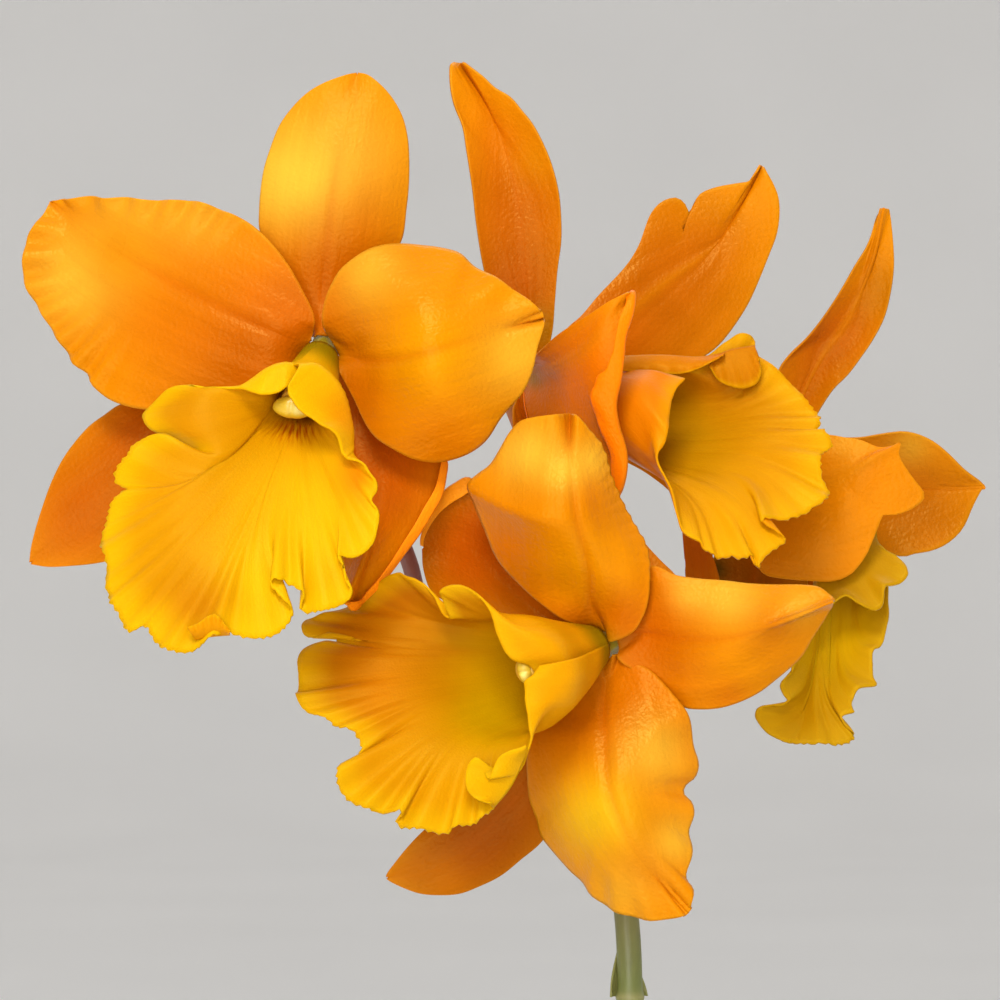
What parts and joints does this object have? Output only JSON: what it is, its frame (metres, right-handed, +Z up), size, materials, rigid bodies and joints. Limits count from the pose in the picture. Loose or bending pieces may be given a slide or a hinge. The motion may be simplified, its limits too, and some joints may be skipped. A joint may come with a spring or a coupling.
{
  "type": "potted rhyncattleanthe orchid",
  "caption": "Potted orchid with furrowed pseudobulbs, leathery leaves and a head of orange blooms with ruffled yellow lips.",
  "frame": {"origin": "centre of the pot's underside, on the surface that it stands on", "axes": "+Z up; the blooms face -Y, so +X is to the right of someone who looks at them"},
  "size_m": [0.3484, 0.2514, 0.5508],
  "materials": {
    "terracotta": "matte, unglazed",
    "bark": "rough",
    "root": "matte",
    "pseudobulb": "smooth, waxy",
    "leaf": "satin, leathery",
    "stem": "smooth",
    "sheath": "papery",
    "petal": "soft satin with a fine sparkle",
    "lip": "soft satin",
    "column": "waxy"
  },
  "bodies": {
    "root": {"pot": "terracotta", "bark": "bark", "rhizome": "root", "pseudobulb_1": "pseudobulb", "pseudobulb_2": "pseudobulb", "pseudobulb_3": "pseudobulb", "pseudobulb_4": "pseudobulb", "pseudobulb_5": "pseudobulb", "leaf_1": "leaf", "leaf_2": "leaf", "leaf_3": "leaf", "leaf_4": "leaf", "leaf_5": "leaf", "leaf_6": "leaf", "leaf_7": "leaf", "flower_stem": "stem", "sheath": "sheath", "bloom_1_dorsal_sepal": "petal", "bloom_1_petal_left": "petal", "bloom_1_petal_right": "petal", "bloom_1_lateral_sepal_left": "petal", "bloom_1_lateral_sepal_right": "petal", "bloom_1_lip": "lip", "bloom_1_column": "column", "bloom_2_dorsal_sepal": "petal", "bloom_2_petal_left": "petal", "bloom_2_petal_right": "petal", "bloom_2_lateral_sepal_left": "petal", "bloom_2_lateral_sepal_right": "petal", "bloom_2_lip": "lip", "bloom_2_column": "column", "bloom_3_dorsal_sepal": "petal", "bloom_3_petal_left": "petal", "bloom_3_petal_right": "petal", "bloom_3_lateral_sepal_left": "petal", "bloom_3_lateral_sepal_right": "petal", "bloom_3_lip": "lip", "bloom_3_column": "column", "bloom_4_dorsal_sepal": "petal", "bloom_4_petal_left": "petal", "bloom_4_petal_right": "petal", "bloom_4_lateral_sepal_left": "petal", "bloom_4_lateral_sepal_right": "petal", "bloom_4_lip": "lip", "bloom_4_column": "column"}
  },
  "joints": []
}
